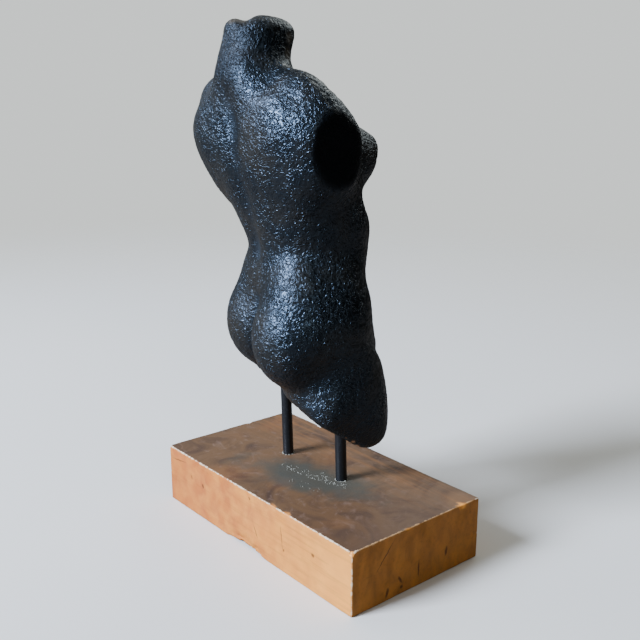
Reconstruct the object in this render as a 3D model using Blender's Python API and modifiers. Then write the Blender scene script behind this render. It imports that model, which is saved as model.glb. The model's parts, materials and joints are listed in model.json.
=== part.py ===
"""Female torso on two rods above a wooden block: a Blender 4.5 script, in metres, +Z up.

The figure faces -Y and its left side is +X. The origin is the middle of the block's underside.
"""

import math

import bmesh
import bpy
import numpy as np
from mathutils import Matrix, Vector

# Block: a sawn plank lying on its broad side.
BLOCK_LENGTH = 0.240
BLOCK_DEPTH = 0.130
BLOCK_HEIGHT = 0.050
BLOCK_EDGE_ROUNDING = 0.0012

# The way to the figure's back left, turned from its left: the rods lean and the neck is broken this way.
BACK_LEFT = math.radians(50.4)

# Rods: two round bars, leaning a little to the back left.
ROD_DIAMETER = 0.009
ROD_SPACING = 0.069
ROD_LEAN = math.radians(1.5)
ROD_SIDES = 40
ROD_SHARP_EDGE = math.radians(40)
BLOCK_SOCKET_DEPTH = 0.030
FIGURE_SOCKET_DEPTH = 0.032
FIT_GAP = 0.0003

# Figure: its height from just under the tip of the right thigh to the top of the neck.
FIGURE_HEIGHT = 0.337
FIGURE_CLEARANCE = 0.016
FIGURE_X = 0.006
FIGURE_Y = -0.005

# The figure's own sizes below are millimetres of a figure this tall, so all are shares of its height.
PATTERN_HEIGHT = 337.0
MM = FIGURE_HEIGHT / PATTERN_HEIGHT

# One row for each level of the trunk, from the thighs up to the top of the neck:
# height, centre to the left, centre to the back, turn in degrees, half width, depth to front, to back.
TRUNK_LEVELS = (
    (-10, 0, -14, -17.5, 46, 34, 34),
    (44, 0, -10, -17.5, 54, 37, 36),
    (78, 0, -3, -17.5, 60, 41, 38),
    (110, 0, 4, -17.5, 65, 43, 40),
    (130, 0, 4.5, -17.5, 62, 42.5, 42),
    (150, 0, 3.5, -17, 56, 37.5, 45),
    (168, 0, 1.5, -15, 51, 38.5, 46.5),
    (189, 2, 7.5, -10, 56, 44, 46.5),
    (206, 4, 15, -6, 59, 43, 44),
    (224, 6, 21.5, -3, 63, 42, 44),
    (244, 8.5, 26.5, 0, 60, 41, 42),
    (262, 10, 30, 0, 52, 36, 38),
    (278, 12.5, 35.5, 0, 39, 31, 34),
    (292, 15.5, 41, 0, 30, 28.5, 28.8),
    (306, 17, 41.5, 0, 24.5, 26.5, 25.5),
    (322, 18, 36.5, 0, 23.5, 27, 25),
    (345, 19, 34.5, 0, 22.5, 26, 24),
)
TRUNK_SQUARENESS = 2.3
BLEND = 4.2

# Cut under the thighs: it rises to the back and to the left, and is level at the right thigh's tip.
CUT_MIDDLE = 32.7
CUT_RISE_TO_BACK = 0.7
CUT_RISE_TO_LEFT = 0.297
CUT_LOWEST = 14.0
CUT_BEND = 2.5
CUT_DISH = 4.0
CUT_ROUNDING_BACK = 5.2
CUT_ROUNDING_FRONT = 20.0
CUT_ROUNDING_GATHER = 1.5
CUT_ROUNDING_LIMIT = 0.4
CUT_FIRST_ROW = 0.08

# Neck: a broken top, domed, with a notch across it.
NECK_RIM = 325.0
NECK_TILT = 0.8
NECK_DOME = 12.0
NECK_SQUARENESS = 0.75
NECK_LAST_ROW = 0.94
NOTCH_OFFSET = 9.0
NOTCH_DEPTH = 5.0
NOTCH_WIDTH = 6.5

# Arms: each stump ends in a flat cut that faces outwards and a little down.
ARM_LEVEL = 244.0
ARM_CUT = 72.0
ARM_CUT_TILT = 0.25
ARM_CUT_ROUNDING = 1.2

# Carving, each as width and depth with the heights that it runs between: spine, cleft, midline.
SPINE = (8.0, 3.6, 160.0, 285.0, 14.0)
CLEFT = (3.4, 5.0, 78.0, 132.0, 10.0)
MIDLINE = (9.0, 1.2, 160.0, 225.0, 14.0)
NAVEL_LEVEL = 152.0
NAVEL_WIDTH = 4.2
NAVEL_DEPTH = 4.0
GROIN_LEVEL = 62.0
GROIN_RISE = 0.72
GROIN_WIDTH = 4.5
GROIN_DEPTH = 2.6
GROIN_FROM_MIDDLE = (8.0, 62.0, 8.0)
HIP_HOLLOW = (52.0, 18.0, 95.0)
HIP_HOLLOW_WIDTH = 21.0
HIP_HOLLOW_DEPTH = 3.2
BACK_REACH = 200.0
BACK_SOFTNESS = 6.0

# Search for the skin along level rays, and for the rim of the lower cut.
RAY_START = 130.0
RAY_END = 4.0
RAY_STEP = 3.0
HALVINGS = 9
RIM_LOWEST = -40.0
RIM_HIGHEST = 140.0
RIM_HALVINGS = 14
ENTRY_ROUNDS = 20

# Loft density, before it is thinned to the number of faces that the solid keeps.
COLUMNS = 176
SIDE_ROWS = 150
CUT_ROWS = 10
ROUND_ROWS = 6
NECK_ROWS = 16
FIGURE_TRIANGLES = 8600


def clear_scene():
    """Removes the objects that the file opened with."""
    for obj in list(bpy.data.objects):
        bpy.data.objects.remove(obj)


def new_collection(name):
    """A collection in the scene."""
    collection = bpy.data.collections.new(name)
    bpy.context.scene.collection.children.link(collection)
    return collection


def material(name, colour, roughness, metallic=0.0):
    """A Principled BSDF material."""
    made = bpy.data.materials.new(name)
    made.use_nodes = True
    shader = made.node_tree.nodes["Principled BSDF"]
    shader.inputs["Base Color"].default_value = (*colour, 1.0)
    shader.inputs["Roughness"].default_value = roughness
    shader.inputs["Metallic"].default_value = metallic
    return made


def spline(x, xs, ys):
    """A smooth curve through the points (xs, ys), read at x: cubic Hermite with slopes from the neighbours."""
    slopes = np.gradient(ys, xs)
    x = np.clip(x, xs[0], xs[-1])
    i = np.clip(np.searchsorted(xs, x) - 1, 0, len(xs) - 2)
    step = xs[i + 1] - xs[i]
    t = (x - xs[i]) / step
    t2, t3 = t * t, t * t * t
    return (
        (2 * t3 - 3 * t2 + 1) * ys[i]
        + (t3 - 2 * t2 + t) * step * slopes[i]
        + (3 * t2 - 2 * t3) * ys[i + 1]
        + (t3 - t2) * step * slopes[i + 1]
    )


LEVELS = np.array(TRUNK_LEVELS, float)


def level(height):
    """The trunk at these heights: (left, back, turn in radians, half width, front depth, back depth)."""
    left, back, turn, width, front, rear = (spline(height, LEVELS[:, 0], LEVELS[:, k]) for k in range(1, 7))
    return left, back, np.radians(turn), width, front, rear


def local(points):
    """Pattern points as (to the left, to the back) of the trunk's centre at their own height."""
    left, back, turn, width, front, rear = level(points[..., 2])
    x, y = points[..., 0] - left, points[..., 1] - back
    return (
        np.cos(turn) * x + np.sin(turn) * y,
        -np.sin(turn) * x + np.cos(turn) * y,
        width,
        front,
        rear,
    )


def place(height, to_left, to_back):
    """A pattern point given by its place in the trunk's own turned frame at that height."""
    left, back, turn = (float(v) for v in level(np.array(height, float))[:3])
    return np.array(
        (
            left + math.cos(turn) * to_left - math.sin(turn) * to_back,
            back + math.sin(turn) * to_left + math.cos(turn) * to_back,
            height,
        )
    )


class Mass:
    """An ellipsoid of clay, placed and turned with the trunk at its height."""

    def __init__(self, height, to_left, to_back, radii, lean=0.0, droop=0.0):
        self.centre = place(height, to_left, to_back)
        turn = float(level(np.array(height, float))[2])
        side = math.copysign(1, to_left)
        tilt = Matrix.Rotation(math.radians(lean), 3, "X") @ Matrix.Rotation(side * math.radians(droop), 3, "Y")
        self.axes = np.array(Matrix.Rotation(turn, 3, "Z") @ tilt)
        self.radii = np.array(radii, float)

    def distance(self, points):
        """About how far the points are outside the ellipsoid."""
        q = (points - self.centre) @ self.axes
        scaled = np.linalg.norm(q / self.radii, axis=-1)
        slope = np.linalg.norm(q / self.radii**2, axis=-1)
        return scaled * (scaled - 1.0) / np.maximum(slope, 1e-9)


def both_sides(height, to_side, to_back, radii, lean=0.0, droop=0.0):
    """A mass on the left and its twin on the right."""
    return [Mass(height, side * to_side, to_back, radii, lean, droop) for side in (1, -1)]


def body_masses():
    """The lumps of clay that the trunk carries below the shoulders."""
    return (
        both_sides(105, 32.5, 25.5, (33.5, 32.2, 38))  # buttocks
        + both_sides(129, 31, 22, (27, 22, 42))  # pads over the hip bones
        + both_sides(48, 32, -10, (30, 29, 64), lean=-7)  # thighs
        + both_sides(56, 34, 11.5, (30, 30, 42))  # backs of the thighs
        + both_sides(257, 33, 25, (21, 14, 27))  # shoulder blades
        + both_sides(231, 43, 10, (20, 22, 30))  # broad muscles of the back
        + both_sides(236, 28.5, -35, (25, 26.5, 24.5))  # breasts
        + both_sides(245, 39, -55, (4.5, 4.5, 4.2))  # nipples
        + both_sides(251, 27, -25, (23, 17, 31), lean=-26)  # upper slope of the breasts
    )


def shoulder_masses():
    """The lumps of clay that the arms' cuts may reach."""
    return (
        both_sides(284, 46, -1, (27, 14.5, 13), droop=20)  # slope from neck to shoulder
        + both_sides(256, 50, 5, (28, 28, 26.5))  # caps of the shoulders
        + both_sides(244, 52, 2, (30, 27, 31))  # stumps of the arms
        + [Mass(262, 0, 1, (66, 27, 28))]  # shoulder girdle
    )


def smooth_union(distances, blend):
    """The distance to shapes that run into each other."""
    stack = np.stack(distances)
    nearest = stack.min(0)
    return nearest - blend * np.log(np.exp((nearest - stack) / blend).sum(0))


def arm_cut(points, side):
    """Distance outside the plane that cuts off an arm: it faces outwards and a little down."""
    return side * local(points)[0] - ARM_CUT - ARM_CUT_TILT * (points[..., 2] - ARM_LEVEL)


def figure_distance(points, shapes):
    """About how far pattern points are outside the figure, before its two ends are cut."""
    body, shoulders = shapes
    x, y, width, front, rear = local(points)
    depth = np.where(y < 0, front, rear)
    ring = (np.abs(x) / width) ** TRUNK_SQUARENESS + (np.abs(y) / depth) ** TRUNK_SQUARENESS
    trunk = (ring ** (1 / TRUNK_SQUARENESS) - 1) * np.minimum(width, depth)
    upper = smooth_union([s.distance(points) for s in shoulders], BLEND)
    upper = -smooth_union([-upper, -arm_cut(points, 1), -arm_cut(points, -1)], ARM_CUT_ROUNDING)
    return smooth_union([trunk, upper, *(s.distance(points) for s in body)], BLEND)


def groove(offset, width, depth):
    """A smooth furrow, deepest where the offset is nought."""
    return depth * np.exp(-((offset / width) ** 2))


def between(value, low, high, soft):
    """1 between low and high, falling smoothly to nought over the soft distance outside them."""
    rise = 1 / (1 + np.exp(-(value - low) / soft * 4))
    fall = 1 / (1 + np.exp((value - high) / soft * 4))
    return rise * fall


def furrow(offset, height, sizes):
    """A groove along the body that fades at its two ends: sizes are its width, depth, ends and fading length."""
    width, depth, low, high, soft = sizes
    return groove(offset, width, depth) * between(height, low, high, soft)


def carving(to_left, to_back, height):
    """How deep the surface is carved here: spine, cleft, navel, groin and the hollows of the hips."""
    behind = between(to_back, 0, BACK_REACH, BACK_SOFTNESS)
    ahead = 1 - behind
    depth = behind * (furrow(to_left, height, SPINE) + furrow(to_left, height, CLEFT))
    depth = depth + ahead * groove(np.hypot(to_left, height - NAVEL_LEVEL), NAVEL_WIDTH, NAVEL_DEPTH)
    depth = depth + ahead * furrow(to_left, height, MIDLINE)
    fold = height - (GROIN_LEVEL + GROIN_RISE * np.abs(to_left))
    depth = depth + ahead * groove(fold, GROIN_WIDTH, GROIN_DEPTH) * between(np.abs(to_left), *GROIN_FROM_MIDDLE)
    side, back, middle = HIP_HOLLOW
    hollow = np.hypot(np.abs(to_left) - side, np.hypot(to_back - back, height - middle))
    return depth + groove(hollow, HIP_HOLLOW_WIDTH, HIP_HOLLOW_DEPTH)


def surface_radius(angle, height, shapes):
    """Distance from the trunk's centre line to the skin, along a level ray at this angle."""
    left, back, turn, _, _, _ = level(height)
    direction = np.stack([np.cos(angle + turn), np.sin(angle + turn), np.zeros_like(angle)], -1)
    centre = np.stack([left, back, height], -1)
    reach = np.full(angle.shape, RAY_START)
    found = np.zeros(angle.shape, bool)
    for r in np.arange(RAY_START, RAY_END, -RAY_STEP):
        inside = figure_distance(centre + r * direction, shapes) < 0
        reach = np.where(inside & ~found, r, reach)
        found |= inside
    low, high = reach, reach + RAY_STEP
    for _ in range(HALVINGS):
        middle = (low + high) / 2
        inside = figure_distance(centre + middle[..., None] * direction, shapes) < 0
        low, high = np.where(inside, middle, low), np.where(inside, high, middle)
    radius = (low + high) / 2
    radius = radius - carving(radius * np.cos(angle), radius * np.sin(angle), height)
    return centre + radius[..., None] * direction


def cut_height(x, y):
    """Height of the cut under the thighs, at pattern points."""
    plane = CUT_MIDDLE + CUT_RISE_TO_LEFT * x + CUT_RISE_TO_BACK * y
    return CUT_LOWEST + CUT_BEND * np.logaddexp(0, (plane - CUT_LOWEST) / CUT_BEND)


def lower_rim(angle, shapes):
    """Where the skin meets the cut under the thighs, for each column."""
    low, high = np.full(angle.shape, RIM_LOWEST), np.full(angle.shape, RIM_HIGHEST)
    for _ in range(RIM_HALVINGS):
        middle = (low + high) / 2
        p = surface_radius(angle, middle, shapes)
        above = p[..., 2] > cut_height(p[..., 0], p[..., 1])
        low, high = np.where(above, low, middle), np.where(above, middle, high)
    return surface_radius(angle, (low + high) / 2, shapes)


def bezier(a, b, c, t):
    """Points on the curve from a to c that leans towards b."""
    return (1 - t) ** 2 * a + 2 * t * (1 - t) * b + t**2 * c


def cut_rows(rim, side_start, rounding):
    """Rows of the cut face, from its middle out to the rim, and round the rim to the side."""
    middle = rim.mean(0)
    inward = middle - rim
    length = np.linalg.norm(inward, axis=-1, keepdims=True)
    face_end = rim + inward * np.minimum(rounding[:, None] / length, CUT_ROUNDING_LIMIT)
    normal = Vector((CUT_RISE_TO_LEFT, CUT_RISE_TO_BACK, -1.0)).normalized()
    rows = []
    for t in np.linspace(CUT_FIRST_ROW, 1, CUT_ROWS, endpoint=False):
        rows.append(middle + (face_end - middle) * t - np.array(normal) * CUT_DISH * (1 - t * t))
    rows += [bezier(face_end, rim, side_start, t) for t in np.linspace(0, 1, ROUND_ROWS, endpoint=False)]
    return middle - np.array(normal) * CUT_DISH, rows


def neck_rows(rim):
    """Rows of the neck's domed top, from the rim to its middle."""
    middle = rim.mean(0)
    rows = []
    for t in np.linspace(0, NECK_LAST_ROW, NECK_ROWS):
        bend = t * math.pi / 2
        row = middle + (rim - middle) * math.cos(bend) ** NECK_SQUARENESS
        row[:, 2] = rim[:, 2] + NECK_DOME * math.sin(bend)
        rows.append(row)
    top = middle + np.array((0, 0, NECK_DOME))
    for row in (*rows, top[None]):
        share = (row[:, 2] - middle[2]) / NECK_DOME
        row[:, 2] -= np.clip(share, 0, 1) * groove(across_notch(row, middle), NOTCH_WIDTH, NOTCH_DEPTH)
    return rows, top


def across_notch(points, middle):
    """Distance of points from the notch, which runs from the back left to the front right of the neck."""
    to_left, to_back = points[:, 0] - middle[0], points[:, 1] - middle[1]
    return to_left * math.cos(BACK_LEFT) + to_back * math.sin(BACK_LEFT) - NOTCH_OFFSET


def figure_rows():
    """The figure's rings of pattern points from the cut to the neck, with the two end points."""
    shapes = body_masses(), shoulder_masses()
    angle = np.linspace(0, 2 * math.pi, COLUMNS, endpoint=False)
    rim = lower_rim(angle, shapes)
    frontness = np.clip(-np.sin(angle), 0, 1) ** CUT_ROUNDING_GATHER
    rounding = CUT_ROUNDING_BACK + (CUT_ROUNDING_FRONT - CUT_ROUNDING_BACK) * frontness
    start = rim[:, 2] + rounding
    end = NECK_RIM + NECK_TILT * np.cos(angle - BACK_LEFT)
    side = [surface_radius(angle, start + (end - start) * t, shapes) for t in np.linspace(0, 1, SIDE_ROWS)]
    bottom, first = cut_rows(rim, side[0], rounding)
    last, top = neck_rows(side[-1])
    return bottom, [*first, *side, *last[1:]], top


def to_metres(points):
    """Pattern points placed above the block."""
    base = np.array((FIGURE_X, FIGURE_Y, BLOCK_HEIGHT + FIGURE_CLEARANCE))
    return np.asarray(points) * MM + base


def lofted_mesh(name, bottom, rows, top):
    """A closed mesh of quads through the rows, with a fan at each end."""
    bm = bmesh.new()
    rings = [[bm.verts.new(p) for p in to_metres(row)] for row in rows]
    for lower, upper in zip(rings, rings[1:]):
        for i in range(COLUMNS):
            j = (i + 1) % COLUMNS
            bm.faces.new((lower[i], lower[j], upper[j], upper[i]))
    ends = ((bm.verts.new(to_metres(bottom)), rings[0], True), (bm.verts.new(to_metres(top)), rings[-1], False))
    for tip, ring, flip in ends:
        for i in range(COLUMNS):
            pair = (ring[(i + 1) % COLUMNS], ring[i]) if flip else (ring[i], ring[(i + 1) % COLUMNS])
            bm.faces.new((*pair, tip))
    mesh = bpy.data.meshes.new(name)
    bm.to_mesh(mesh)
    bm.free()
    mesh.shade_smooth()
    return mesh


def thinned(mesh, triangles):
    """The mesh with fewer triangles, kept where the form bends most."""
    helper = bpy.data.objects.new(mesh.name + "_dense", mesh)
    bpy.context.scene.collection.objects.link(helper)
    helper.modifiers.new("triangles", "TRIANGULATE")
    thin = helper.modifiers.new("thin", "DECIMATE")
    thin.ratio = triangles / sum(len(p.vertices) - 2 for p in mesh.polygons)
    graph = bpy.context.evaluated_depsgraph_get()
    result = bpy.data.meshes.new_from_object(helper.evaluated_get(graph))
    bpy.data.objects.remove(helper)
    return result


def rod_places():
    """The foot of each rod on the block's top, by the name of its side."""
    return {
        name: Vector((FIGURE_X + side * ROD_SPACING / 2, FIGURE_Y, BLOCK_HEIGHT))
        for name, side in (("left", 1), ("right", -1))
    }


def rod_direction():
    """The way the rods point: up, leaning to the back left."""
    out = math.sin(ROD_LEAN)
    return Vector((math.cos(BACK_LEFT) * out, math.sin(BACK_LEFT) * out, math.cos(ROD_LEAN)))


def figure_entry(foot):
    """How far up the rod, from its foot, the figure's underside is."""
    up = rod_direction()
    reach = 0.0
    for _ in range(ENTRY_ROUNDS):
        p = foot + up * reach
        x, y = (p.x - FIGURE_X) / MM, (p.y - FIGURE_Y) / MM
        z = BLOCK_HEIGHT + FIGURE_CLEARANCE + cut_height(x, y) * MM
        reach += (z - p.z) / up.z
    return reach


def cylinder(name, start, end, diameter, collection):
    """A round bar between two points."""
    bm = bmesh.new()
    length = (end - start).length
    bmesh.ops.create_cone(
        bm,
        cap_ends=True,
        segments=ROD_SIDES,
        radius1=diameter / 2,
        radius2=diameter / 2,
        depth=length,
    )
    mesh = bpy.data.meshes.new(name)
    bm.to_mesh(mesh)
    bm.free()
    mesh.shade_smooth()
    mesh.set_sharp_from_angle(angle=ROD_SHARP_EDGE)
    obj = bpy.data.objects.new(name, mesh)
    obj.location = (start + end) / 2
    obj.rotation_mode = "QUATERNION"
    obj.rotation_quaternion = (end - start).to_track_quat("Z", "Y")
    collection.objects.link(obj)
    return obj


def hide_cutter(cutter):
    """Keeps a cutter out of renders."""
    cutter.hide_render = True
    cutter.display_type = "WIRE"


def drill(target, cutter):
    """Cuts a hole in the target."""
    cut = target.modifiers.new(cutter.name, "BOOLEAN")
    cut.operation = "DIFFERENCE"
    cut.object = cutter


def build_block(collection):
    """The wooden block, with its edges a little rounded."""
    bm = bmesh.new()
    bmesh.ops.create_cube(bm, size=1.0)
    bmesh.ops.scale(bm, vec=(BLOCK_LENGTH, BLOCK_DEPTH, BLOCK_HEIGHT), verts=bm.verts)
    bmesh.ops.translate(bm, vec=(0, 0, BLOCK_HEIGHT / 2), verts=bm.verts)
    mesh = bpy.data.meshes.new("base_block")
    bm.to_mesh(mesh)
    bm.free()
    block = bpy.data.objects.new("base_block", mesh)
    collection.objects.link(block)
    rounding = block.modifiers.new("edges", "BEVEL")
    rounding.width = BLOCK_EDGE_ROUNDING
    rounding.segments = 3
    rounding.limit_method = "ANGLE"
    block.data.materials.append(material("oiled wood", (0.42, 0.24, 0.12), 0.55))
    return block


def build_figure(collection):
    """The torso, one piece of clay."""
    mesh = thinned(lofted_mesh("torso", *figure_rows()), FIGURE_TRIANGLES)
    mesh.name = "torso"
    figure = bpy.data.objects.new("torso", mesh)
    collection.objects.link(figure)
    figure.data.materials.append(material("black glazed clay", (0.012, 0.013, 0.015), 0.32))
    return figure


def build_rods(collection, cutters, block, figure):
    """The rods, in holes drilled for them in the block and the figure."""
    up = rod_direction()
    steel = material("blackened steel", (0.03, 0.034, 0.04), 0.45, 0.6)
    hole = ROD_DIAMETER + 2 * FIT_GAP
    for side, foot in rod_places().items():
        entry = figure_entry(foot)
        low = foot - up * (BLOCK_SOCKET_DEPTH - FIT_GAP)
        high = foot + up * (entry + FIGURE_SOCKET_DEPTH - FIT_GAP)
        rod = cylinder("rod_" + side, low, high, ROD_DIAMETER, collection)
        rod.data.materials.append(steel)
        mouth = ROD_DIAMETER
        in_block = cylinder("hole_block_" + side, foot - up * BLOCK_SOCKET_DEPTH, foot + up * mouth, hole, cutters)
        top = foot + up * (entry + FIGURE_SOCKET_DEPTH)
        in_figure = cylinder("hole_figure_" + side, foot + up * (entry - 2 * mouth), top, hole, cutters)
        for target, cutter in ((block, in_block), (figure, in_figure)):
            hide_cutter(cutter)
            drill(target, cutter)


def main():
    """Builds the sculpture."""
    clear_scene()
    sculpture = new_collection("torso sculpture")
    cutters = new_collection("cutters")
    block = build_block(sculpture)
    figure = build_figure(sculpture)
    build_rods(sculpture, cutters, block, figure)


if __name__ == "__main__":
    main()
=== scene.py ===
"""Dresses a small black glazed torso that stands on two steel rods over a wooden block.

Lengths are in metres, or in millimetres where a name ends in _mm. The figure faces -Y, its left is +X,
and the block's underside lies on the floor at z = 0.
"""

from __future__ import annotations

import json
import logging
import math
from dataclasses import dataclass
from enum import Enum

import bmesh
import bpy
import numpy as np
from mathutils import Matrix, Vector, noise
from mathutils.kdtree import KDTree

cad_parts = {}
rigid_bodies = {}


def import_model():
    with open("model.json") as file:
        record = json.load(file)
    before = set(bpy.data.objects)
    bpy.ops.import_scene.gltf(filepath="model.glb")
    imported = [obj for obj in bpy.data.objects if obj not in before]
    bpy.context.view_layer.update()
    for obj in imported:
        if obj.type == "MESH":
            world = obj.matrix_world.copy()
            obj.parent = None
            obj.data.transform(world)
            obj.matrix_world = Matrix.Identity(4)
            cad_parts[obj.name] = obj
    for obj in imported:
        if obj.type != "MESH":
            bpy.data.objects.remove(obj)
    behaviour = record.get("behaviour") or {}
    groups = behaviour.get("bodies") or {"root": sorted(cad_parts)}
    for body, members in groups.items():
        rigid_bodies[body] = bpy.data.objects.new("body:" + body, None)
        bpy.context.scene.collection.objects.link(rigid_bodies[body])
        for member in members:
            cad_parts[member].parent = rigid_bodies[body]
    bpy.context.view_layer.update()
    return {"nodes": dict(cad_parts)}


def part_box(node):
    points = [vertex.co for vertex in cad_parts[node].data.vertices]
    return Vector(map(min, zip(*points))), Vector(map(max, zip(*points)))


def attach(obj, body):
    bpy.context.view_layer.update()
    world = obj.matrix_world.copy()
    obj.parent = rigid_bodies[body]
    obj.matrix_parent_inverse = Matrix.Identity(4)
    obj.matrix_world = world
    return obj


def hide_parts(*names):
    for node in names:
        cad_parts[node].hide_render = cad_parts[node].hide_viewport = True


MM = 0.001
LOG = logging.getLogger("torso scene")
CREASE = math.radians(50)

Material = bpy.types.Material
Mesh = bpy.types.Mesh
Node = bpy.types.Node
Socket = bpy.types.NodeSocket
Solid = bpy.types.Object
Tree = bpy.types.NodeTree
Source = Socket | Node
Triple = tuple[float, float, float]
Inputs = dict[str | int, object] | tuple[object, ...]


class Kind(Enum):
    """The nodes in common use: each one's Blender type, and the setting that it takes with its value."""

    ABOVE = ("ShaderNodeMath", "operation", "GREATER_THAN")
    ABSOLUTE = ("ShaderNodeMath", "operation", "ABSOLUTE")
    DIVIDED = ("ShaderNodeMath", "operation", "DIVIDE")
    DOT = ("ShaderNodeVectorMath", "operation", "DOT_PRODUCT")
    EASE = ("ShaderNodeMapRange", "interpolation_type", "SMOOTHSTEP")
    LEAST = ("ShaderNodeMath", "operation", "MINIMUM")
    LENGTH = ("ShaderNodeVectorMath", "operation", "LENGTH")
    MINUS = ("ShaderNodeMath", "operation", "SUBTRACT")
    MIX = ("ShaderNodeMix", "data_type", "RGBA")
    MOST = ("ShaderNodeMath", "operation", "MAXIMUM")
    NOISE = ("ShaderNodeTexNoise",)
    RANGE = ("ShaderNodeMapRange",)
    SCALED = ("ShaderNodeVectorMath", "operation", "SCALE")
    TIMES = ("ShaderNodeMath", "operation", "MULTIPLY")
    TIMES_PLUS = ("ShaderNodeMath", "operation", "MULTIPLY_ADD")
    VECTOR_MINUS = ("ShaderNodeVectorMath", "operation", "SUBTRACT")
    VECTOR_TIMES_PLUS = ("ShaderNodeVectorMath", "operation", "MULTIPLY_ADD")


class Slot(Enum):
    """The record's finishes."""

    CLAY = "glazed_clay"
    STEEL = "black_steel"
    WOOD = "block_wood"


def linear(code: str) -> tuple[float, ...]:
    """Turns an sRGB colour to the linear one that nodes take.

    Args:
        code: The colour as #RRGGBB.

    Returns:
        Red, green, blue and an alpha of 1.
    """
    channels = [int(code[i : i + 2], 16) / 255 for i in (1, 3, 5)]
    red, green, blue = (c / 12.92 if c <= 0.04045 else ((c + 0.055) / 1.055) ** 2.4 for c in channels)
    return red, green, blue, 1.0


def feed(node: Node, inputs: Inputs) -> None:
    """Sets a node's values and links.

    Args:
        node: The node.
        inputs: For each input, by name or number or in order, a value, a colour's code, a socket, or a node
            for its first live output.
    """
    for key, value in inputs.items() if isinstance(inputs, dict) else enumerate(inputs):
        if isinstance(value, Node):
            value = next(out for out in value.outputs if out.enabled)
        if isinstance(value, str) and value.startswith("#"):
            value = linear(value)
        if isinstance(value, Socket):
            node.id_data.links.new(value, node.inputs[key])
        else:
            node.inputs[key].default_value = value


def add(tree: Tree, kind: Kind | str, inputs: Inputs = (), **settings: object) -> Node:
    """Adds a node to a tree, with its settings, values and links.

    Args:
        tree: The tree that takes the node.
        kind: The kind, or the node's Blender type.
        inputs: What its inputs get.
        settings: The node's own properties.

    Returns:
        The new node.
    """
    node_type, *setting = kind.value if isinstance(kind, Kind) else (kind,)
    made = tree.nodes.new(node_type)
    if setting:
        settings = {setting[0]: setting[1], **settings}
    for name, value in settings.items():
        setattr(made, name, value)
    feed(made, inputs)
    return made


def open_material(name: str) -> tuple[Material, Tree, Node, Socket]:
    """Starts a material.

    Args:
        name: The real material's name.

    Returns:
        The material, its tree, its Principled shader, already linked to the output, and the Object coordinates.
    """
    material = bpy.data.materials.new(name)
    material.use_nodes = True
    tree = material.node_tree
    tree.nodes.clear()
    shader = add(tree, "ShaderNodeBsdfPrincipled")
    add(tree, "ShaderNodeOutputMaterial", {"Surface": shader})
    return material, tree, shader, add(tree, "ShaderNodeTexCoord").outputs["Object"]


def layered(tree: Tree, ground: Source | str, *layers: tuple[Source, Source | str]) -> Source:
    """Lays colours over a ground.

    Args:
        tree: The material's tree.
        ground: The ground's colour.
        layers: Each layer's share and colour, from the lowest up.

    Returns:
        The colour on top.
    """
    for share, colour in layers:
        ground = add(tree, Kind.MIX, {0: share, 6: ground, 7: colour})
    return ground


def open_tree(name: str, **sizes: tuple[str, ...]) -> tuple[Tree, list[Socket], Node]:
    """Starts a Geometry Nodes tree.

    Args:
        name: The tree's name.
        sizes: The names of its inputs, under the type of their sockets.

    Returns:
        The tree, the sockets of its inputs after Geometry, and its Group Output.
    """
    tree = bpy.data.node_groups.new(name, "GeometryNodeTree")
    labels = [("Geometry", "Geometry"), *((label, kind) for kind, names in sizes.items() for label in names)]
    for label, kind in labels:
        tree.interface.new_socket(label, in_out="INPUT", socket_type=f"NodeSocket{kind}")
    tree.interface.new_socket("Geometry", in_out="OUTPUT", socket_type="NodeSocketGeometry")
    inputs = add(tree, "NodeGroupInput").outputs
    return tree, [inputs[label] for label, _ in labels], add(tree, "NodeGroupOutput")


def pushed(tree: Tree, geometry: Source, distance: Source) -> Node:
    """Moves a surface along its own normals.

    Args:
        tree: The tree.
        geometry: The surface.
        distance: How far outwards.

    Returns:
        The moved surface.
    """
    offset = add(tree, Kind.SCALED, {0: add(tree, "GeometryNodeInputNormal"), "Scale": distance})
    return add(tree, "GeometryNodeSetPosition", {"Geometry": geometry, "Offset": offset})


def mesh_object(name: str, mesh: Mesh | None = None) -> Solid:
    """Puts a mesh, or an empty one, in the scene as an object at the origin."""
    made = bpy.data.objects.new(name, mesh or bpy.data.meshes.new(name))
    bpy.context.scene.collection.objects.link(made)
    return made


def settled(obj: Solid, name: str) -> Solid:
    """Turns what an object's modifiers give into a plain mesh of its own, and drops the object.

    Args:
        obj: The object with live modifiers.
        name: The name of the plain object.

    Returns:
        The plain object.
    """
    graph = bpy.context.evaluated_depsgraph_get()
    mesh = bpy.data.meshes.new_from_object(
        obj.evaluated_get(graph), preserve_all_data_layers=True, depsgraph=graph)
    bpy.data.objects.remove(obj)
    mesh.name = name
    return mesh_object(name, mesh)


def through_tree(obj: Solid, tree: Tree, sizes: dict[str, object], name: str) -> Solid:
    """Runs an object through a Geometry Nodes tree and keeps the plain result.

    Args:
        obj: The object that goes in.
        tree: The tree.
        sizes: A value for each named input.
        name: The result's name.

    Returns:
        The plain object.
    """
    modifier = obj.modifiers.new(tree.name, "NODES")
    modifier.node_group = tree
    for item in tree.interface.items_tree:
        if item.in_out == "INPUT" and item.name in sizes:
            modifier[item.identifier] = sizes[item.name]
    return settled(obj, name)


def rows_of(items: bpy.types.bpy_prop_collection, key: str) -> np.ndarray:
    """A vector of each vertex as a row."""
    flat = np.empty(len(items) * 3, np.float32)
    items.foreach_get(key, flat)
    return flat.reshape(-1, 3).astype(float)


def points_of(mesh: Mesh) -> np.ndarray:
    """The mesh's vertices as rows."""
    return rows_of(mesh.vertices, "co")


def set_points(mesh: Mesh, points: np.ndarray) -> None:
    """Moves the mesh's vertices."""
    mesh.vertices.foreach_set("co", points.astype(np.float32).ravel())
    mesh.update()


def normals_of(mesh: Mesh) -> np.ndarray:
    """The mesh's vertex normals as rows."""
    return rows_of(mesh.vertex_normals, "vector")


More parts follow.
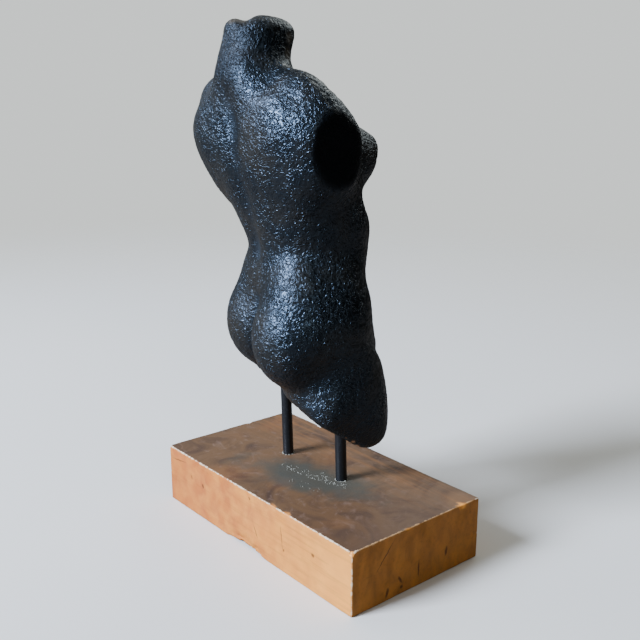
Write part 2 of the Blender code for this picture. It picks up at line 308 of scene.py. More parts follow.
def noise_at(points: np.ndarray, scale: float, shift: Triple = (0, 0, 0)) -> np.ndarray:
    """Smooth noise, about 0 in the mean, at points that are scaled and then shifted."""
    return np.array([noise.noise(Vector(point) * scale + Vector(shift)) for point in points])


def object_from(whole: bmesh.types.BMesh, name: str) -> Solid:
    """Turns a loose mesh into an object and frees it."""
    made = mesh_object(name)
    whole.to_mesh(made.data)
    whole.free()
    return made


def finished(piece: Solid, material: Material | None = None, crease: float = 0.0) -> Solid:
    """Gives a piece its material and shading, and reports it.

    Args:
        piece: The piece.
        material: The material, where the piece has none of its own.
        crease: The angle from which an edge stays sharp, 0 for none.

    Returns:
        The piece.
    """
    mesh = piece.data
    if material:
        mesh.materials.clear()
        mesh.materials.append(material)
    if material or crease:
        mesh.shade_smooth()
    if crease:
        mesh.set_sharp_from_angle(angle=crease)
    LOG.info("%s: %d faces", piece.name, len(mesh.polygons))
    return piece


def paint(mesh: Mesh, name: str, values: np.ndarray) -> None:
    """Stores one number a vertex as a named attribute."""
    layer = mesh.attributes.new(name, "FLOAT", "POINT")
    layer.data.foreach_set("value", values.astype(np.float32))


def ease(values: np.ndarray, start: float, end: float) -> np.ndarray:
    """Rises smoothly from 0 at start to 1 at end."""
    share = np.clip((values - start) / (end - start), 0.0, 1.0)
    return share * share * (3 - 2 * share)


@dataclass(frozen=True)
class CrawledGlaze:
    """Black glaze on stoneware, fired until it drew up into short curly ridges.

    It looks wet and nearly black, with a spark on each ridge, and olive brown where it ran thin.
    """

    body: str = "#0E1114"
    thin: str = "#221D15"
    pooled: str = "#1A2027"
    # Near-black painted shade for the arm cuts, which face away from the light.
    raw: str = "#070707"
    clay: str = "#B98A62"
    # Clay colour for the unglazed tops of the neck, also used as painted light on a strip of the neck's right
    # side.
    biscuit_and_painted_light: str = "#4B443A"
    sheen: str = "#B8D6F8"
    swell_mm: float = 3.4
    ridge_mm: float = 3.0
    ridge_height_mm: float = 0.70
    ridge_share: float = 0.62
    fine_mm: float = 1.5
    flock_mm: float = 11.0
    pimple_mm: float = 3.4
    crater_mm: float = 9.0
    ior: float = 1.66

    def build(self) -> Material:
        """Makes the material."""
        material, tree, shader, place = open_material("black crawled glaze")
        painted = ("calm", "bare", "cut", "dull", "unglazed")
        calm, bare, cut, dull, unglazed = (
            add(tree, "ShaderNodeAttribute", attribute_name=name).outputs["Fac"] for name in painted)

        stir = add(tree, Kind.NOISE, {"Vector": place, "Scale": 190.0, "Detail": 2.0})
        bend = add(tree, Kind.VECTOR_TIMES_PLUS, (stir.outputs[1], (0.0045, 0.0045, 0.0045), place))
        swell = add(tree, Kind.NOISE, {"Vector": bend, "Scale": 1000 / self.swell_mm, "Detail": 1.0})
        ridge = self._ridges(tree, bend, self.ridge_mm, 0.15)
        fine = self._ridges(tree, bend, self.fine_mm, 0.20)
        flock = add(tree, Kind.NOISE, {"Vector": place, "Scale": 1000 / self.flock_mm, "Detail": 2.0})
        thick = add(tree, Kind.RANGE, (flock, 0.38, 0.62, 0.50, 1.1))
        curls = add(tree, Kind.TIMES_PLUS, (fine, 0.25, ridge))
        tall = add(tree, Kind.TIMES, (curls, thick))
        height = add(tree, Kind.TIMES, (tall, self.ridge_share))
        pimples = self._dots(tree, place, self.pimple_mm, (0.0, 0.22), 0.66)
        rings = self._dots(tree, place, self.crater_mm, (0.13, 0.05), 0.62)
        for part, share in ((swell, 0.35), (pimples, 1.15), (rings, 0.6)):
            height = add(tree, Kind.TIMES_PLUS, (part, share, height))
        quiet = add(tree, Kind.MOST, (calm, cut))
        stilled = add(tree, Kind.RANGE, (quiet, 0.0, 1.0, 1.0, 0.42))
        even = add(tree, Kind.TIMES, (height, stilled))
        grit = add(tree, Kind.NOISE, {"Vector": place, "Scale": 1600.0, "Detail": 2.0})
        whole = add(tree, Kind.TIMES_PLUS, (grit, 0.10, even))
        bump = add(
            tree, "ShaderNodeBump", {"Strength": 1.0, "Distance": self.ridge_height_mm * MM, "Height": whole})

        cloud = add(tree, Kind.NOISE, {"Vector": place, "Scale": 38.0, "Detail": 4.0})
        thinness = add(tree, Kind.RANGE, (cloud, 0.45, 0.72))
        # On the arm cuts the colour is painted shade, near-black; they are also rougher, less glossy and less
        # wrinkled.
        colour = layered(
            tree, self.body, (thinness, self.thin), (calm, self.pooled), (unglazed, self.biscuit_and_painted_light),
            (bare, self.clay), (cut, self.raw))
        glossy = add(tree, Kind.RANGE, (dull, 0.0, 1.0, 0.5, 0.24))
        level = add(tree, Kind.RANGE, (cut, 0.0, 1.0, glossy, 0.12))
        rough = add(tree, Kind.RANGE, (cloud, 0.3, 0.7, 0.24, 0.36))
        for share, more in ((calm, 0.32), (dull, 0.12), (cut, 0.3), (bare, 0.5)):
            rough = add(tree, Kind.TIMES_PLUS, (share, more, rough))
        feed(
            shader,
            {
                "IOR": self.ior, "Specular Tint": self.sheen, "Base Color": colour, "Specular IOR Level": level,
                "Roughness": rough, "Normal": bump})
        return material

    def _ridges(self, tree: Tree, place: Source, size_mm: float, width: float) -> Source:
        """Draws curly ridges where a noise crosses its middle value.

        Args:
            tree: The material's tree.
            place: The bent coordinates.
            size_mm: The ridges' spacing.
            width: How far from the crossing a ridge reaches, in the noise's own units.

        Returns:
            The socket with 1 on a crest and 0 between ridges.
        """
        field_ = add(tree, Kind.NOISE, {"Vector": place, "Scale": 1000 / size_mm, "Detail": 1.0})
        away = add(tree, Kind.ABSOLUTE, (add(tree, Kind.MINUS, (field_, 0.5)),))
        return add(tree, Kind.EASE, (away, 0.0, width, 1.0, 0.0))

    def _dots(self, tree: Tree, place: Source, size_mm: float, ring: tuple[float, float], least: float) -> Source:
        """Scatters raised dots or rings.

        Args:
            tree: The material's tree.
            place: Coordinates in metres.
            size_mm: The size of the cells that hold one dot each.
            ring: The radius of the crest, 0 for a dot, and its reach, as shares of the cell.
            least: The tone above which a cell keeps its dot.

        Returns:
            The socket with 1 on a crest and 0 between.
        """
        cells = add(tree, "ShaderNodeTexVoronoi", {"Vector": place, "Scale": 1000 / size_mm})
        away = add(tree, Kind.ABSOLUTE, (add(tree, Kind.MINUS, (cells.outputs["Distance"], ring[0])),))
        crest = add(tree, Kind.EASE, (away, 0.0, ring[1], 1.0, 0.0))
        kept = add(tree, Kind.ABOVE, (cells.outputs["Color"], least))
        return add(tree, Kind.TIMES, (crest, kept))


@dataclass(frozen=True)
class BlackenedSteel:
    """Round mild steel bar under thin satin black paint: dull, with a soft streak and rubbed spots."""

    paint: str = "#0A0D12"
    rubbed: str = "#24282E"
    drag_mm: float = 2.0

    def build(self) -> Material:
        """Makes the material."""
        material, tree, shader, place = open_material("satin black painted steel")
        drawn = add(tree, "ShaderNodeMapping", {"Vector": place, "Scale": (1.0, 1.0, 0.08)})
        streak = add(tree, Kind.NOISE, {"Vector": drawn, "Scale": 1000 / self.drag_mm, "Detail": 3.0})
        speck = add(tree, Kind.NOISE, {"Vector": place, "Scale": 420.0, "Detail": 4.0})
        rubbed = add(tree, Kind.RANGE, (speck, 0.60, 0.74))
        colour = layered(tree, self.paint, (rubbed, self.rubbed))
        gloss = add(tree, Kind.RANGE, (streak, 0.0, 1.0, 0.32, 0.52))
        bump = add(tree, "ShaderNodeBump", {"Strength": 0.5, "Distance": 0.06 * MM, "Height": speck})
        feed(shader, {"Base Color": colour, "Roughness": gloss, "Normal": bump})
        return material


@dataclass(frozen=True)
class Mark:
    """A small dark or pale mark on the block: its middle, its half sizes and its turn, in millimetres."""

    middle: Triple
    half: Triple
    turn: Triple = (0.0, 0.0, 0.0)


# The first mark is painted shade under the broken bottom arris of the long side; the others are knots and short
# cracks.
KNOTS_AND_CHIP_SHADE = (
    Mark((9.0, 65, -0.6), (18.0, 9, 3.6), (0, 0.03, 0)), Mark((66.9, 65, 30.0), (1.5, 3, 2.2), (0, 0.6, 0)),
    Mark((84.7, 65, 32.2), (0.8, 3, 2.2), (0, 0.5, 0)), Mark((-0.5, 65, 44.7), (1.0, 3, 1.6), (0, 0.7, 0)),
    Mark((104.0, 65, 41.0), (12.0, 3, 0.45), (0, 0.12, 0)), Mark((-8.0, 65, 19.0), (0.5, 3, 6.0), (0, 0.45, 0)),
    Mark((-41.0, 65, 28.0), (0.45, 3, 10.0), (0, 0.14, 0)), Mark((-43.5, 65, 18.8), (1.0, 3, 1.2)),
    Mark((-78.0, 65, 29.7), (2.0, 3, 1.6)), Mark((-120, -29.6, 17.7), (3, 1.5, 4.2), (0.15, 0, 0)),
    Mark((-120, 18.5, 12.0), (3, 1.1, 4.0), (-0.5, 0, 0)), Mark((-120, 17.0, 5.5), (3, 1.6, 1.6)),
    Mark((-120, 31.4, 6.0), (3, 1.6, 4.5), (0.3, 0, 0)), Mark((-120, 33.5, 36.0), (3, 0.45, 12.5), (0.72, 0, 0)),
    Mark((-120, -0.3, 14.0), (3, 0.8, 7.0)))


@dataclass(frozen=True)
class OiledWood:
    """A close-grained block, oiled and waxed: warm orange sides, a top gone brown-grey with handling.

    Its arrises are rubbed to pale bare wood, and a grey-green stain lies round the feet of the rods.
    """

    light: str = "#DE8434"
    rosy: str = "#BE6A36"
    golden: str = "#FFAA4C"
    dark: str = "#3A2415"
    top: str = "#694D35"
    top_dark: str = "#483326"
    top_pale: str = "#84695A"
    top_grain: str = "#8E6038"
    worn: str = "#E6D2B6"
    rubbed: str = "#D9A873"
    stain: str = "#45453D"
    half_length_mm: float = 120.0
    half_width_mm: float = 65.0
    height_mm: float = 50.0
    grain_mm: float = 3.0

    def build(self) -> Material:
        """Makes the material."""
        material, tree, shader, metres = open_material("oiled and waxed wood")
        place = add(tree, Kind.SCALED, {0: metres, "Scale": 1000.0})
        sides = self._sides(tree, place)
        top, haze = self._top(tree, place)
        split = add(tree, "ShaderNodeSeparateXYZ", {0: place})
        on_top = add(tree, Kind.RANGE, (split.outputs[2], self.height_mm - 0.9, self.height_mm - 0.15))
        from_end = add(tree, Kind.ABSOLUTE, (split,))
        # The two end faces come out darker, unevenly.
        end_grain = add(
            tree, Kind.RANGE, (from_end, self.half_length_mm - 1.0, self.half_length_mm - 0.4, 0.0, 0.62))
        upright = add(tree, "ShaderNodeMapping", {"Vector": place, "Scale": (1.0, 1.0, 0.5)})
        drip = add(tree, Kind.NOISE, {"Vector": upright, "Scale": 0.085, "Detail": 5.0, "Distortion": 0.7})
        uneven = add(tree, Kind.RANGE, (drip, 0.32, 0.68, 0.3, 0.8))
        darker_ends = add(tree, Kind.TIMES, (end_grain, uneven))
        worn = self._worn(tree, place, split)
        from_side = add(tree, Kind.ABSOLUTE, (split.outputs[1],))
        long_side = add(tree, Kind.RANGE, (from_side, self.half_width_mm - 8, self.half_width_mm - 3))
        line = layered(tree, self.rubbed, (long_side, self.worn))
        colour = layered(tree, sides, (darker_ends, self.dark), (on_top, top), (worn, line))
        gloss = add(tree, Kind.RANGE, (haze, 0.3, 0.7, 0.36, 0.62))
        grain = self._grain(tree, place, 0.9)
        bump = add(tree, "ShaderNodeBump", {"Strength": 0.35, "Distance": 0.12 * MM, "Height": grain})
        feed(shader, {"Base Color": colour, "Roughness": gloss, "Normal": bump})
        return material

    def _grain(self, tree: Tree, place: Source, size_mm: float) -> Source:
        """Streaks that run along the block.

        Args:
            tree: The material's tree.
            place: Coordinates in millimetres.
            size_mm: The width of a streak.

        Returns:
            The socket with the streaks, about 0.5 in the mean.
        """
        drawn = add(tree, "ShaderNodeMapping", {"Vector": place, "Scale": (0.045, 1.0, 1.0)})
        return add(tree, Kind.NOISE, {"Vector": drawn, "Scale": 1 / size_mm, "Detail": 4.0, "Roughness": 0.6})

    def _sides(self, tree: Tree, place: Source) -> Source:
        """Colours the four sides: warm blotches, faint grain, knots, short cracks and painted shade under the
        broken bottom arris, with painted light towards the near end and painted shade towards the far end.
        """
        blotch = add(tree, Kind.NOISE, {"Vector": place, "Scale": 0.050, "Detail": 4.0, "Distortion": 0.3})
        rosy = add(tree, Kind.RANGE, (blotch, 0.34, 0.66))
        drift = add(tree, Kind.NOISE, {"Vector": place, "Scale": 0.075, "Detail": 4.0, "Distortion": 0.3})
        gold = add(tree, Kind.RANGE, (drift, 0.40, 0.70, 0.0, 0.8))
        along = add(tree, "ShaderNodeSeparateXYZ", {0: place})
        # Painted light and shade: the sides turn golden towards the near end, at -X, and darker and rosier
        # towards the far end, at +X.
        near_end_light = add(tree, Kind.RANGE, (along, 50.0, -120.0, 0.0, 0.80))
        shaded = add(tree, Kind.RANGE, (along, -90.0, 125.0, 0.0, 0.60))
        streak = add(tree, Kind.RANGE, (self._grain(tree, place, self.grain_mm), 0.52, 0.75, 0.0, 0.22))
        stir = add(tree, Kind.NOISE, {"Vector": place, "Scale": 0.35, "Detail": 3.0})
        bent = add(tree, Kind.VECTOR_TIMES_PLUS, (stir.outputs[1], (1.6, 1.6, 1.6), place))
        shifted = add(tree, Kind.VECTOR_MINUS, (bent, (0.8, 0.8, 0.8)))
        marks, *others = (self._spot(tree, shifted, knot) for knot in KNOTS_AND_CHIP_SHADE)
        for other in others:
            marks = add(tree, Kind.MOST, (marks, other))
        return layered(
            tree, self.light, (rosy, self.rosy), (gold, self.golden), (near_end_light, self.golden),
            (shaded, self.rosy), (streak, self.dark), (marks, self.dark))

    def _spot(self, tree: Tree, place: Source, mark: Mark) -> Source:
        """Draws one mark.

        Args:
            tree: The material's tree.
            place: Coordinates in millimetres.
            mark: The mark.

        Returns:
            The socket with 1 inside the mark and 0 outside.
        """
        near = add(
            tree, "ShaderNodeMapping",
            {"Vector": place, "Location": mark.middle, "Rotation": mark.turn, "Scale": mark.half},
            vector_type="TEXTURE")
        out = add(tree, Kind.LENGTH, (near,))
        return add(tree, Kind.RANGE, (out, 0.55, 1.15, 0.72, 0.0))

    def _top(self, tree: Tree, place: Source) -> tuple[Socket, Socket]:
        """Colours the top: clouds of wax, grain towards the far side, painted shade towards the near end and the
        stain round the rods.

        Returns:
            The colour and the cloudiness.
        """
        cloud = add(
            tree, Kind.NOISE,
            {"Vector": place, "Scale": 0.028, "Detail": 5.0, "Roughness": 0.58, "Distortion": 1.4})
        darker = add(tree, Kind.RANGE, (cloud, 0.44, 0.66))
        wisp = add(
            tree, Kind.NOISE,
            {"Vector": place, "Scale": 0.06, "Detail": 6.0, "Roughness": 0.65, "Distortion": 2.2})
        paler = add(tree, Kind.RANGE, (wisp, 0.54, 0.72, 0.0, 0.6))
        split = add(tree, "ShaderNodeSeparateXYZ", {0: place})
        far = add(tree, Kind.RANGE, (split.outputs[1], 0.0, -45.0, 0.0, 0.55))
        streak = add(tree, Kind.RANGE, (self._grain(tree, place, 3.4), 0.44, 0.66))
        grained = add(tree, Kind.TIMES, (far, streak))
        # Painted shade: the top darkens towards the near end.
        near_end_shade = add(tree, Kind.RANGE, (split, -40.0, -115.0, 0.0, 0.55))
        stain = self._stain(tree, place)
        colour = layered(
            tree, self.top, (darker, self.top_dark), (paler, self.top_pale), (grained, self.top_grain),
            (near_end_shade, self.top_dark), (stain, self.stain))
        return colour, cloud

    def _stain(self, tree: Tree, place: Source) -> Source:
        """The share of the grey-green stain round the feet of the rods."""
        ragged = add(tree, Kind.NOISE, {"Vector": place, "Scale": 0.07, "Detail": 5.0})
        near = add(
            tree, "ShaderNodeMapping",
            {
                "Vector": place, "Location": (-8.0, 12.0, 50.0), "Rotation": (0, 0, 0.30),
                "Scale": (72.0, 29.0, 60.0)}, vector_type="TEXTURE")
        out = add(tree, Kind.LENGTH, (near,))
        bitten = add(tree, Kind.TIMES_PLUS, (ragged, 1.1, out))
        return add(tree, Kind.EASE, (bitten, 0.95, 1.75, 0.9, 0.0))

    def _worn(self, tree: Tree, place: Source, split: Node) -> Source:
        """The share of pale bare wood along the top and upright arrises.

        Args:
            tree: The material's tree.
            place: Coordinates in millimetres.
            split: The same coordinates, separated.

        Returns:
            The socket with 1 where the arris is worn through.
        """
        from_end = add(tree, Kind.ABSOLUTE, (split,))
        from_side = add(tree, Kind.ABSOLUTE, (split.outputs[1],))
        end = add(tree, Kind.MINUS, (self.half_length_mm, from_end))
        side = add(tree, Kind.MINUS, (self.half_width_mm, from_side))
        above = add(tree, Kind.MINUS, (self.height_mm, split.outputs[2]))
        low = add(tree, Kind.LEAST, (end, side))
        high = add(tree, Kind.MOST, (end, side))
        rest = add(tree, Kind.LEAST, (high, above))
        arris = add(tree, Kind.MOST, (low, rest))
        ragged = add(tree, Kind.NOISE, {"Vector": place, "Scale": 0.22, "Detail": 6.0, "Roughness": 0.7})
        reach = add(tree, Kind.RANGE, (ragged, 0.34, 0.68, 0.25, 1.75))
        return add(tree, Kind.RANGE, (add(tree, Kind.MINUS, (reach, arris)), 0.0, 0.45, 0.0, 0.85))


@dataclass(frozen=True)
class DriedGlue:
    """Set glue that squeezed out round the rods and crumbled: chalky, off-white, dull."""

    pale: str = "#A9A698"
    dusty: str = "#6C695E"

    def build(self) -> Material:
        """Makes the material."""
        material, tree, shader, place = open_material("dried glue")
        speck = add(tree, Kind.NOISE, {"Vector": place, "Scale": 700.0, "Detail": 3.0})
        share = add(tree, Kind.RANGE, (speck, 0.4, 0.65))
        colour = layered(tree, self.pale, (share, self.dusty))
        gloss = add(tree, Kind.RANGE, (speck, 0.0, 1.0, 0.45, 0.7))
        bump = add(tree, "ShaderNodeBump", {"Strength": 0.6, "Distance": 0.1 * MM, "Height": speck})
        feed(shader, {"Base Color": colour, "Roughness": gloss, "Normal": bump})
        return material


@dataclass(frozen=True)
class Rod:
    """The place of one packed rod: the middles of its ends and its radius."""

    node: str
    foot: Vector
    head: Vector
    radius: float

    @classmethod
    def read(cls, packed: Solid) -> Rod:
        """Reads a rod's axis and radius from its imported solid."""
        points = points_of(packed.data)
        low = points[points[:, 2] < points[:, 2].min() + 0.5 * MM].mean(0)
        high = points[points[:, 2] > points[:, 2].max() - 0.5 * MM].mean(0)
        axis = (high - low) / np.linalg.norm(high - low)
        out = points - low
        out = out - np.outer(out @ axis, axis)
        return cls(packed.name, Vector(low), Vector(high), float(np.linalg.norm(out, axis=1).max()))

    def distances(self, points: np.ndarray) -> np.ndarray:
        """How far each point lies from the rod's axis."""
        foot = np.array(self.foot)
        axis = np.array((self.head - self.foot).normalized())
        out = points - foot
        return np.linalg.norm(out - np.outer(out @ axis, axis), axis=1)


@dataclass(frozen=True)
class Swelling:
    """A soft rise of the figure's skin, or a hollow where its height is below 0."""

    middle_mm: Triple
    radius_mm: float
    height_mm: float
    towards: Triple = (-0.55, 0.83, 0.0)


@dataclass(frozen=True)
class Patch:
    """A spot of the figure's skin, by its middle and its reach."""

    middle_mm: Triple
    radius_mm: float


@dataclass
class Torso:
    """The hollow clay figure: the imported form, smoothed, with the relief of its glaze."""

    glaze: Material
    voxel: float = 1.37 * MM
    smoothing_rounds: int = 11
    broad_rounds: int = 90
    calm_rounds: int = 20
    crisp_angle: float = math.radians(42)
    crisp_reach: float = 4.0 * MM
    socket_reach: float = 2.5 * MM
    lump_mm: float = 7.0
    lump_height_mm: float = 0.30
    wrinkle_mm: float = 4.2
    wrinkle_height_mm: float = 0.42
    fold_mm: float = 8.0
    fold_depth: float = 1.5 * MM
    fold_seed: int = 11
    arm_cut_out: float = 55.0 * MM
    swellings: tuple[Swelling, ...] = (Swelling((-48, 24, 116), 16, 4.5), Swelling((-47, 42, 150), 15, -3.0))
    folds: tuple[Patch, ...] = (Patch((-50, 28, 351), 22), Patch((50, 28, 351), 22), Patch((-56, 10, 338), 14))
    # The first two patches are the unglazed tops of the neck; the last two, on the neck's right side, are a
    # painted light strip where that side catches light from the front.
    unglazed: tuple[Patch, ...] = (
        Patch((27, 50, 400), 7.5), Patch((20, 47, 400), 6.0), Patch((0, 18, 386), 7.0), Patch((-1, 20, 376), 7.0))
    hazed: tuple[Patch, ...] = (Patch((11, 56, 381), 26), Patch((22, 62, 368), 24), Patch((14, 66, 354), 15))
    chips: tuple[Patch, ...] = (
        Patch((-51, 3, 91), 2.0), Patch((-50, -2, 86), 2.6), Patch((-49, -8, 84), 1.6), Patch((-50, 9, 95), 1.0))
    name: str = "torso_glazed"

    def build(self, packed: Solid, rods: list[Rod]) -> Solid:
        """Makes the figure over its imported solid.

        Args:
            packed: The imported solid.
            rods: The rods whose sockets stay as they are.

        Returns:
            The dressed figure.
        """
        whole = self._merged(packed)
        crisp = self._crisp_points(whole)
        even = self._even(whole)
        mesh = even.data
        points = points_of(mesh)
        arris = self._distances(points, crisp)
        held = ease(arris, 0.0, self.crisp_reach)
        socket_free = np.ones(len(points))
        for rod in rods:
            far, rim = rod.distances(points), rod.radius + self.socket_reach
            held = held * ease(far, rim, rim + self.socket_reach)
            socket_free *= ease(far, rim, rim + 2 * self.socket_reach)
        points = self._relaxed(mesh, points, self.smoothing_rounds, held)
        points = self._swollen(points, socket_free)
        set_points(mesh, points)
        points = self._folded(mesh, points, held)
        set_points(mesh, points)
        hollow = self._hollows(mesh, points)
        calm = self._relaxed(mesh, ease(hollow, 0.25 * MM, 1.5 * MM)[:, None], self.calm_rounds, 1.0)[:, 0]
        paint(mesh, "calm", calm)
        paint(mesh, "unglazed", self._near(points, self.unglazed))
        paint(mesh, "dull", self._near(points, self.unglazed + self.hazed))
        paint(mesh, "bare", self._near(points, self.chips))
        paint(mesh, "cut", self._arm_cuts(mesh, points))
        made = through_tree(
            even, self._relief(),
            {
                "Lump size": self.lump_mm * MM, "Lump height": self.lump_height_mm * MM,
                "Wrinkle size": self.wrinkle_mm * MM, "Wrinkle height": self.wrinkle_height_mm * MM}, self.name)
        return finished(made, self.glaze)

    def _near(self, points: np.ndarray, patches: tuple[Patch, ...]) -> np.ndarray:
        """How much each point belongs to any of the patches, from 0 to 1."""
        share = np.zeros(len(points))
        for patch in patches:
            far = np.linalg.norm(points - np.array(patch.middle_mm) * MM, axis=1)
            share = np.maximum(share, 1 - ease(far, 0.4 * patch.radius_mm * MM, patch.radius_mm * MM))
        return share

    def _swollen(self, points: np.ndarray, share: np.ndarray) -> np.ndarray:
        """Raises and hollows the skin.

        Args:
            points: The vertices' places.
            share: How far each vertex may go, from 0 to 1.

        Returns:
            The new places.
        """
        for swelling in self.swellings:
            far = np.linalg.norm(points - np.array(swelling.middle_mm) * MM, axis=1)
            height = swelling.height_mm * MM * np.exp(-((far / (swelling.radius_mm * MM)) ** 2)) * share
            points = points + height[:, None] * np.array(swelling.towards)
        return points

    def _folded(self, mesh: Mesh, points: np.ndarray, share: np.ndarray) -> np.ndarray:
        """Sinks soft folds into the skin of the shoulders, with the clay left standing between them."""
        near = self._near(points, self.folds) * share
        normals = normals_of(mesh)
        noise.seed_set(self.fold_seed)  # without a seed, noise_vector is set by the clock
        depth = np.zeros(len(points))
        for i in np.flatnonzero(near > 0.01):
            place = Vector(points[i] / (self.fold_mm * MM))
            bend = noise.noise_vector(place * 0.7)
            depth[i] = abs(noise.noise(place + 0.8 * bend)) ** 0.5
        return points - normals * (self.fold_depth * near * (1 - depth))[:, None]

    def _arm_cuts(self, mesh: Mesh, points: np.ndarray) -> np.ndarray:
        """The share of each vertex that lies on the flat cut of an arm."""
        out = np.sign(points[:, 0]) * normals_of(mesh)[:, 0] + 0.12 * noise_at(points, 260.0)
        flat = ease(out, 0.80, 0.94) * ease(np.abs(points[:, 0]), self.arm_cut_out, self.arm_cut_out + 2 * MM)
        high = ease(points[:, 2], 268 * MM, 276 * MM)
        behind = ease(points[:, 1], -12 * MM, -4 * MM)
        return self._relaxed(mesh, (flat * high * behind)[:, None], 4, 1.0)[:, 0]

    def _merged(self, packed: Solid) -> bmesh.types.BMesh:
        """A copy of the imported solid's loose triangles, merged to one skin."""
        whole = bmesh.new()
        whole.from_mesh(packed.data)
        bmesh.ops.remove_doubles(whole, verts=whole.verts, dist=0.005 * MM)
        return whole

    def _crisp_points(self, whole: bmesh.types.BMesh) -> KDTree:
        """Points along the arrises that smoothing has to spare, such as the rims of the cuts."""
        spots: list[Vector] = []
        for edge in whole.edges:
            if len(edge.link_faces) == 2 and edge.calc_face_angle(0.0) > self.crisp_angle:
                a, b = (v.co for v in edge.verts)
                steps = max(1, round((b - a).length / MM))
                spots.extend(a.lerp(b, i / steps) for i in range(steps + 1))
        tree = KDTree(len(spots))
        for i, spot in enumerate(spots):
            tree.insert(spot, i)
        tree.balance()
        return tree

    def _even(self, whole: bmesh.types.BMesh) -> Solid:
        """Remeshes the skin with small even faces."""
        raw = object_from(whole, "skin")
        remesh = raw.modifiers.new("even", "REMESH")
        remesh.mode = "VOXEL"
        remesh.voxel_size = self.voxel
        return settled(raw, "even_skin")

    def _distances(self, points: np.ndarray, tree: KDTree) -> np.ndarray:
        """How far each point lies from the nearest of the tree's."""
        return np.array([tree.find(point)[2] for point in points])

    def _relaxed(self, mesh: Mesh, points: np.ndarray, rounds: int, share: np.ndarray | float) -> np.ndarray:
        """Moves each vertex towards its neighbours' mean.

        Args:
            mesh: The mesh whose edges join the neighbours.
            points: The vertices' places.
            rounds: How many times.
            share: How far each vertex goes, from 0 to 1.

        Returns:
            The new places.
        """
        ends = np.empty(len(mesh.edges) * 2, np.int64)
        mesh.edges.foreach_get("vertices", ends)
        a, b = ends.reshape(-1, 2).T
        count = len(points)
        degree = np.bincount(a, minlength=count) + np.bincount(b, minlength=count)
        strength = 0.5 * np.broadcast_to(np.asarray(share, float), (count,))[:, None]
        for _ in range(rounds):
            sums = [np.bincount(a, axis[b], count) + np.bincount(b, axis[a], count) for axis in points.T]
            points = points + strength * (np.stack(sums, axis=1) / degree[:, None] - points)
        return points

    def _hollows(self, mesh: Mesh, points: np.ndarray) -> np.ndarray:
        """How deep each vertex lies in a hollow, in metres, or below 0 on a swelling."""
        broad = self._relaxed(mesh, points, self.broad_rounds, 1.0)
        return np.einsum("ij,ij->i", broad - points, normals_of(mesh))

    def _relief(self) -> Tree:
        """The tree that sinks the skin between soft lumps and curly wrinkles.

        Returns:
            The tree. It only moves the skin inwards, so the figure keeps its size.
        """
        tree, (skin, lump_size, lump_height, wrinkle_size, wrinkle_height), outputs = open_tree(
            "glaze relief", Float=("Lump size", "Lump height", "Wrinkle size", "Wrinkle height"))
        place = add(tree, "GeometryNodeInputPosition")
        calm = add(tree, "GeometryNodeInputNamedAttribute", {"Name": "calm"}, data_type="FLOAT")
        lump_scale = add(tree, Kind.DIVIDED, (1.0, lump_size))
        lump = add(tree, Kind.NOISE, {"Vector": place, "Scale": lump_scale, "Detail": 1.0})
        sunk = add(tree, Kind.TIMES, (lump, lump_height))
        wrinkle_scale = add(tree, Kind.DIVIDED, (1.0, wrinkle_size))
        wrinkle = add(
            tree, Kind.NOISE, {"Vector": place, "Scale": wrinkle_scale, "Detail": 1.0, "Distortion": 0.6})
        away = add(tree, Kind.ABSOLUTE, (add(tree, Kind.MINUS, (wrinkle, 0.5)),))
        valley = add(tree, Kind.EASE, (away, 0.0, 0.16))
        lively = add(tree, Kind.MINUS, (1.0, calm))
        dip = add(tree, Kind.TIMES, (valley, lively))
        both = add(tree, Kind.TIMES_PLUS, (dip, wrinkle_height, sunk))
        inward = add(tree, Kind.TIMES, (both, -1.0))
        feed(outputs, (pushed(tree, skin, inward),))
        return tree


@dataclass
class SteelRods:
    """The two bars that carry the figure."""

    paint: Material
    sides: int = 56
    rings: int = 90
    dent: float = 0.07 * MM

    def build(self, rod: Rod) -> Solid:
        """Makes one bar along its packed rod.

        Args:
            rod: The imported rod's place.

        Returns:
            The bar.
        """
        made = through_tree(
            mesh_object("rod_seed"), self._tree(),
            {"Foot": rod.foot, "Head": rod.head, "Radius": rod.radius, "Dent": self.dent}, f"{rod.node}_painted")
        return finished(made, crease=CREASE)

    def _tree(self) -> Tree:
        """The tree that draws a slightly dented bar from foot to head."""
        tree, (_, foot, head, radius, dent), outputs = open_tree(
            "painted bar", Vector=("Foot", "Head"), Float=("Radius", "Dent"))
        line = add(tree, "GeometryNodeCurvePrimitiveLine", {"Start": foot, "End": head})
        rings = add(tree, "GeometryNodeResampleCurve", {"Curve": line, "Count": self.rings})
        circle = add(tree, "GeometryNodeCurvePrimitiveCircle", {"Resolution": self.sides, "Radius": radius})
        bar = add(tree, "GeometryNodeCurveToMesh", {"Curve": rings, "Profile Curve": circle, "Fill Caps": True})
        uneven = add(
            tree, Kind.NOISE, {"Vector": add(tree, "GeometryNodeInputPosition"), "Scale": 130.0, "Detail": 2.0})
        sunk = add(tree, Kind.TIMES, (uneven, dent))
        inward = add(tree, Kind.TIMES, (sunk, -1.0))
        dressed = add(
            tree, "GeometryNodeSetMaterial", {"Geometry": pushed(tree, bar, inward), "Material": self.paint})
        feed(outputs, (dressed,))
        return tree


@dataclass(frozen=True)
class Chip:
    """A place where the block's arris is broken away."""

    middle_mm: Triple
    radius_mm: float
    depth_mm: float


